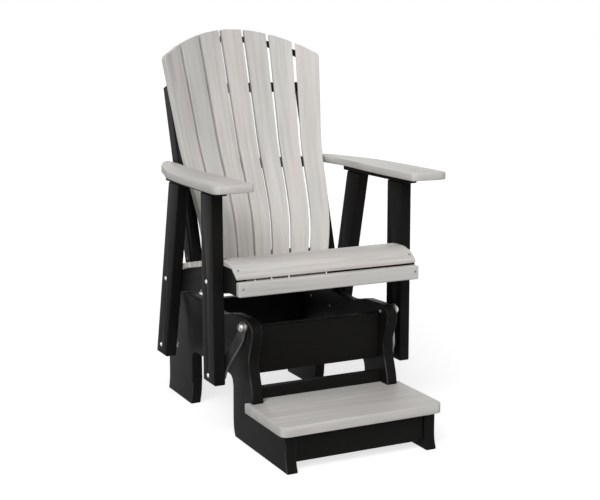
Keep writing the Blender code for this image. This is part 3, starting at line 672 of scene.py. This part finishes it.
def makeStrap(node, seed):
    end, _, word = node.split("_")
    side = 1 if word == "right" else -1
    pins = (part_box("%s_%s_pivot_bolt_%s" % (end, level, word)) for level in ("top", "low"))
    top, low = (Vector((0, (start.y + stop.y) / 2, (start.z + stop.z) / 2)) for start, stop in pins)
    length = (low - top).length
    down = (low - top) / length
    wide = Vector((0, -down.z, down.y))
    half = straps["width"] / 2
    thick = straps["thickness"] / 2
    crank = straps["bendEnd"] - straps["bendStart"]
    stops = [(-half * math.cos(a), half * max(math.sin(a), straps["tip"]))
             for a in (math.pi / 2 * k / straps["endSteps"] for k in range(straps["endSteps"] + 1))]
    bend = [straps["bendStart"] + crank * k / straps["bendSteps"] for k in range(straps["bendSteps"] + 1)]
    middle = [(along, half) for along in bend]
    stops += middle + [(length - along, width) for along, width in reversed(stops)]
    shape = bmesh.new()
    loops = []
    for along, width in stops:
        moved, turn = slant(min(max((along - straps["bendStart"]) / crank, 0.0), 1.0))
        travel = straps["lowInner"] - straps["topInner"]
        centre = top + down * along + Vector((side * (straps["topInner"] + thick + travel * moved), 0, 0))
        skin = (Vector((side, 0, 0)) - down * (travel * turn / crank)).normalized() * thick
        left, right = centre + wide * width, centre - wide * width
        loops.append([shape.verts.new(c) for c in (left - skin, right - skin, right + skin, left + skin)])
    joinLoops(shape, loops)
    shape.faces.new(loops[0])
    shape.faces.new(loops[-1])
    chamfer = straps["hubChamfer"]
    for point, face, out, outer in (
            (top, straps["topFace"], side, straps["topInner"] + straps["thickness"] + straps["hubProud"]),
            (low, straps["lowFace"], -side, straps["lowInner"] - straps["hubProud"])):
        reach = abs(outer - face)
        turnedPart(shape, [(0, straps["hubRadius"] - chamfer), (chamfer, straps["hubRadius"]),
                           (reach - chamfer, straps["hubRadius"]), (reach, straps["hubRadius"] - chamfer)],
                   (side * face, point.y, point.z), (out, 0, 0), straps["hubSides"])
    bmesh.ops.recalc_face_normals(shape, faces=shape.faces)
    mesh = bpy.data.meshes.new(node)
    shape.to_mesh(mesh)
    shape.free()
    strap = linkPiece(node + ".strap", mesh)
    addEdges(strap, *straps["edge"])
    strap = settle(strap)
    storeGrain(strap.data, seed)
    return fitOut(strap, "hanger", nodeBody[node], [node])


# Bolts: small domes with a socket on the legs, large hexagons on the upper pivots. Each piece of a bolt is
# a profile of distances inwards and radii.
bolts = {
    "sides": 40, "headSteps": 8, "shank": 0.0040, "nutFlats": 0.0063, "nutHeight": 0.0046,
    "threadEnd": 0.0012, "washerHeight": 0.0016, "socketDepth": 0.45, "hexTurn": math.radians(12),
    "sharp": math.radians(32),
    "small": {"head": 0.0060, "height": 0.0045, "washer": 0.0078, "socket": 0.0022},
    "large": {"head": 0.0105, "height": 0.0085, "washer": 0.0148, "socket": 0.0}}


def hexHead(kind):
    # six flats under a chamfered, slightly domed end
    radius, height = kind["head"], kind["height"]
    flat = radius * math.cos(math.pi / 6)
    return [(0.0, flat * 0.70), (height * 0.07, flat * 0.90), (height * 0.24, radius), (height, radius)]


def domeHead(kind):
    crown, socket, steps = kind["height"], kind["socket"], bolts["headSteps"]
    dome = [(crown * (1 - math.cos(a)), kind["head"] * math.sin(a))
            for a in (math.pi / 2 * k / steps for k in range(steps + 1))]
    floor = crown * bolts["socketDepth"]
    return [(floor, 0.0004), (floor, socket)] + [ring for ring in dome if ring[1] > socket]


def dressBolts(name, nodes, size):
    shape = bmesh.new()
    kind = bolts[size]
    washer, height = kind["washer"], bolts["washerHeight"]
    washerRings = [(0, washer * 0.96), (0.0003, washer), (height - 0.0002, washer), (height, washer * 0.98)]
    corner, depth = bolts["nutFlats"] / math.cos(math.pi / 6), bolts["nutHeight"]
    nutRings = [(0, corner), (depth - 0.0006, corner), (depth, corner * 0.92)]
    for node in nodes:
        low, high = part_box(node)
        middle = (low + high) / 2
        side = 1 if middle.x > 0 else -1
        outer, inner = max(abs(low.x), abs(high.x)), min(abs(low.x), abs(high.x))
        seat = outer - kind["height"]
        reach = seat - inner
        shankRings = [(0, bolts["shank"]), (reach - 0.0004, bolts["shank"]), (reach, bolts["shank"] * 0.88)]
        head = (domeHead(kind), outer, bolts["sides"], 0.0)
        if not kind["socket"]:
            head = (hexHead(kind), outer, 6, bolts["hexTurn"])
        for rings, start, sides, turn in (
                head, (washerRings, seat, bolts["sides"], 0.0), (shankRings, seat, bolts["sides"], 0.0),
                (nutRings, inner + bolts["threadEnd"] + depth, 6, 0.0)):
            turnedPart(shape, rings, (side * start, middle.y, middle.z), (-side, 0, 0), sides, turn)
    mesh = bpy.data.meshes.new(name)
    bmesh.ops.recalc_face_normals(shape, faces=shape.faces)
    shape.to_mesh(mesh)
    shape.free()
    mesh.shade_smooth()
    mesh.set_sharp_from_angle(angle=bolts["sharp"])
    return fitOut(linkPiece(name, mesh), "steel", nodeBody[nodes[0]], nodes)


# Screw heads: flat domes with a square socket, one on each point, turned to the point's facing
screws = {
    "Head Radius": 0.0043, "Dome": 0.0017, "Socket Width": 0.0026, "Socket Depth": 0.0012,
    "Sides": 20, "Rings": 10, "sharp": math.radians(40)}


def screwTree():
    sizes = ("Head Radius", "Dome", "Socket Width", "Socket Depth")
    graph, given = newTree("screwHeads", sizes, ("Sides", "Rings"))
    ball = graph.node("GeometryNodeMeshUVSphere", {}, {
        "Segments": given["Sides"], "Rings": given["Rings"], "Radius": 1.0})
    size = graph.node("ShaderNodeCombineXYZ", {}, [
        given["Head Radius"], given["Head Radius"], given["Dome"]])
    dome = graph.node("GeometryNodeTransform", {}, {"Geometry": ball, "Scale": size})
    slot = graph.node("GeometryNodeMeshCube", {}, {"Size": graph.node("ShaderNodeCombineXYZ", {}, [
        given["Socket Width"], given["Socket Width"], given["Socket Depth"] * 2.0])})
    lifted = graph.node("GeometryNodeTransform", {}, {
        "Geometry": slot, "Translation": graph.node("ShaderNodeCombineXYZ", {}, [0.0, 0.0, given["Dome"]])})
    cut = graph.node("GeometryNodeMeshBoolean", {"operation": "DIFFERENCE"}, {
        "Mesh 1": dome, "Mesh 2": lifted})
    facing = graph.node("GeometryNodeInputNamedAttribute", {"data_type": "FLOAT_VECTOR"}, {"Name": "facing"})
    turned = graph.node("FunctionNodeAlignRotationToVector", {"axis": "Z"}, {"Vector": facing})
    heads = graph.node("GeometryNodeInstanceOnPoints", {}, {
        "Points": given["Geometry"], "Instance": cut, "Rotation": turned})
    return endTree(graph, heads, given)


def driveScrews(name, body, tree, spots):
    mesh = bpy.data.meshes.new(name)
    mesh.from_pydata([spot for spot, _ in spots], [], [])
    layer = mesh.attributes.new("facing", "FLOAT_VECTOR", "POINT")
    layer.data.foreach_set("vector", [c for _, facing in spots for c in facing])
    holder = linkPiece(name, mesh)
    hangTree(holder, tree, treeInputs(screws, "screw"))
    piece = settle(holder)
    piece.data.shade_smooth()
    piece.data.set_sharp_from_angle(angle=screws["sharp"])
    print(name + ":", len(spots), "screws")
    return fitOut(piece, "screw", body)


# Where the screws go. Pairs of numbers are a depth and a height, single ones a share or what the key says.
screwPlan = {
    "endAcross": 0.3089, "boardHeight": 0.5372, "nose": (0.2560, 0.5885), "noseRound": 0.0153,
    "levelRow": (0.60, 0.85), "slatRow": (0.22, 0.78), "rearRow": 0.0300, "railSide": (0.5359, 0.4724),
    "postSide": (0.7760, 0.5385), "supports": ("bottom", "lower", "middle", "top"), "supportTries": 60,
    "armRow": (0.08, 0.50, 0.92), "panelInside": ((0.8197, 0.3462), (0.6707, 0.3382)),
    "stepAcross": 0.2460, "stepRow": (0.25, 0.75), "stepSet": 0.0200, "stepRun": 0.2600}


def supportScrews(node):
    # one screw behind the middle of each slat, on the middle of the support's rear face
    low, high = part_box(node)
    support = bpy.data.objects[node + ".board"].data
    skin = BVHTree.FromPolygons([v.co for v in support.vertices], [f.vertices for f in support.polygons])
    half = fanHalf(((low.z + high.z) / 2 - fan["Low"]) / fan["Rise"])
    spots = []
    for slat in range(fan["Slats"]):
        across = ((slat + 0.5) * 2 / fan["Slats"] - 1) * half
        heights = np.linspace(low.z, high.z, screwPlan["supportTries"])
        hits = [skin.ray_cast(Vector((across, high.y + 0.5, z)), Vector((0, -1, 0))) for z in heights]
        hits = [(point, normal) for point, normal, _, _ in hits if point and normal.y > 0.8]
        if hits:
            point, normal = hits[len(hits) // 2]
            spots.append((tuple(point), tuple(normal)))
    return spots


def seatScrews(side):
    # down one end of the front board and of every seat slat
    plan, run = screwPlan, seatRun
    x = side * plan["endAcross"]
    spots = [((x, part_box("seat_front_board")[0].y, plan["boardHeight"]), (0, -1, 0))]
    low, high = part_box("seat_nose_slat")
    nose = Vector((0, high.y - low.y, high.z - low.z - plan["noseRound"])).normalized()
    spots.append((at(x, *plan["nose"]), (0, -nose.z, nose.y)))
    low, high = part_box("seat_slat_1")
    spots += [((x, low.y + share * (high.y - low.y), high.z), (0, 0, 1)) for share in plan["levelRow"]]
    start, slope, up = seatLine()
    rows = [slat * run["Pitch"] + share * run["Width"]
            for slat in range(run["Slats"]) for share in plan["slatRow"]]
    for row in rows + [run["Slats"] * run["Pitch"] + plan["rearRow"]]:
        along = run["gap"] / 2 + row
        spots.append((tuple(start + slope * along + up * run["Thickness"] + Vector((x, 0, 0))), tuple(up)))
    return spots


def chairScrews():
    plan, spots = screwPlan, []
    rail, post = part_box("seat_rail_right")[1].x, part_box("back_post_right")[1].x
    for side in (-1, 1):
        spots += seatScrews(side)
        spots.append((at(side * rail, *plan["railSide"]), (side, 0, 0)))
        spots.append((at(side * post, *plan["postSide"]), (side, 0, 0)))
    for word in plan["supports"]:
        spots += supportScrews("back_support_" + word)
    low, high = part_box("arm_rail_right")
    for side in (-1, 1):
        for share in plan["armRow"]:
            spots.append(((side * (low.x + high.x) / 2, low.y + share * (high.y - low.y), low.z), (0, 0, -1)))
    return spots


def baseScrews():
    plan, spots = screwPlan, []
    panel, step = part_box("base_side_right")[0].x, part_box("step_board")[0]
    for side in (-1, 1):
        spots += [(at(side * panel, *spot), (-side, 0, 0)) for spot in plan["panelInside"]]
        for share in plan["stepRow"]:
            depth = step.y + plan["stepSet"] + share * plan["stepRun"]
            spots.append(((side * plan["stepAcross"], depth, step.z), (0, 0, -1)))
    return spots


# The CAD nodes by what dresses them; what is neither pale, bolt, strap nor repeated slat is a black board
paleStarts = ("armrest", "seat_nose", "seat_slat_1", "seat_rear_slat", "seat_front_board", "step_board")
paleNodes = [n for n in sorted(nodeBody) if n.startswith(paleStarts)]
boltNodes = [n for n in sorted(nodeBody) if "bolt" in n]
strapNodes = [n for n in sorted(nodeBody) if "strap" in n]
slatNodes = [n for n in sorted(nodeBody) if n.startswith(("back_slat", "seat_slat")) and n not in paleNodes]
blackNodes = [n for n in sorted(nodeBody) if n not in paleNodes + boltNodes + strapNodes + slatNodes]
for seed, node in enumerate(paleNodes):
    dressBoard(node, "pale", seed)
for seed, node in enumerate(blackNodes):
    dressBoard(node, "panel" if node.startswith("base_side") else "black", seed)
print("boards:", len(paleNodes), "pale,", len(blackNodes), "black")
makeFan()
makeSeatSlats()
for seed, node in enumerate(strapNodes):
    makeStrap(node, seed)
dressBolts("legBolts", [n for n in boltNodes if "top_pivot" not in n], "small")
dressBolts("pivotBolts", [n for n in boltNodes if "top_pivot" in n], "large")
print("straps:", len(strapNodes), "bolts:", len(boltNodes))
screwHeads = screwTree()
driveScrews("chairScrews", "chair", screwHeads, chairScrews())
driveScrews("baseScrews", nodeBody["step_board"], screwHeads, baseScrews())


# The suns: name, direction towards it, soft angle, strength
studio = {
    "floorRadius": 60.0, "floorColour": (0.42, 0.42, 0.42), "floorLift": 0.72, "worldLevel": 0.12,
    "suns": [("key", (-0.45, -0.58, 0.68), 42.0, 2.70), ("front", (-0.10, -0.95, 0.12), 60.0, 0.70),
             ("back", (0.50, 0.84, 0.08), 60.0, 1.05)]}


def shownDirectly(graph):
    # 1 for what the camera sees, straight, in a reflection or through glass; 0 for light on the object
    camera, glossy, through = (
        graph.node("ShaderNodeLightPath", {}, None, ray)
        for ray in ("Is Camera Ray", "Is Glossy Ray", "Is Transmission Ray"))
    return camera.math("MAXIMUM", glossy).math("MAXIMUM", through)


def makeFloor():
    mesh = bpy.data.meshes.new("floor")
    shape = bmesh.new()
    bmesh.ops.create_circle(shape, cap_ends=True, segments=96, radius=studio["floorRadius"])
    shape.to_mesh(mesh)
    shape.free()
    floor = linkPiece("floor", mesh)
    colour = studio["floorColour"]
    graph = newFinish("paleFloor", colour, {
        "Base Color": (*colour, 1.0), "Roughness": 0.9, "Specular IOR Level": 0.0})
    lift = shownDirectly(graph) * studio["floorLift"]
    glow = graph.node("ShaderNodeEmission", {}, {"Color": (1, 1, 1, 1), "Strength": lift})
    both = graph.node("ShaderNodeAddShader", {}, [Wire(graph, graph.principled.outputs[0]), glow])
    graph.tree.links.new(both.socket, graph.tree.nodes["Material Output"].inputs[0])
    mesh.materials.append(graph.material)


def makeWorld():
    world = bpy.data.worlds.new("studio")
    bpy.context.scene.world = world
    world.use_nodes = True
    graph = Graph(world.node_tree)
    world.node_tree.nodes.clear()
    white = {"Color": (1, 1, 1, 1), "Strength": 1.0}
    dim = graph.node("ShaderNodeBackground", {}, {**white, "Strength": studio["worldLevel"]})
    bright = graph.node("ShaderNodeBackground", {}, white)
    mixed = graph.node("ShaderNodeMixShader", {}, [shownDirectly(graph), dim, bright])
    end = world.node_tree.nodes.new("ShaderNodeOutputWorld")
    world.node_tree.links.new(mixed.socket, end.inputs[0])


def makeLamps():
    for name, towards, soft, strength in studio["suns"]:
        data = bpy.data.lights.new(name, "SUN")
        data.angle = math.radians(soft)
        data.energy = strength
        lamp = bpy.data.objects.new(name, data)
        bpy.context.scene.collection.objects.link(lamp)
        lamp.rotation_euler = Vector(towards).to_track_quat("Z", "Y").to_euler()


# Fitted to the photo; the angles are in degrees, the lens in millimetres on a 36 mm frame
viewpoint = {
    "place": (-1.8036, -3.7651, 1.3493), "turn": 26.067, "dip": 10.384, "roll": -0.182, "lens": 74.878}


def makeCamera():
    data = bpy.data.cameras.new("camera")
    data.sensor_width = 36.0
    data.lens = viewpoint["lens"]
    data.clip_end = 100.0
    camera = bpy.data.objects.new("camera", data)
    bpy.context.scene.collection.objects.link(camera)
    turn = Matrix.Rotation(-math.radians(viewpoint["turn"]), 4, "Z")
    tilt = Matrix.Rotation(math.radians(90 - viewpoint["dip"]), 4, "X")
    roll = Matrix.Rotation(math.radians(viewpoint["roll"]), 4, "Z")
    camera.matrix_world = Matrix.Translation(viewpoint["place"]) @ turn @ tilt @ roll
    bpy.context.scene.camera = camera


makeFloor()
makeWorld()
makeLamps()
makeCamera()
bpy.context.scene.view_settings.view_transform = "Standard"
print("studio ready")
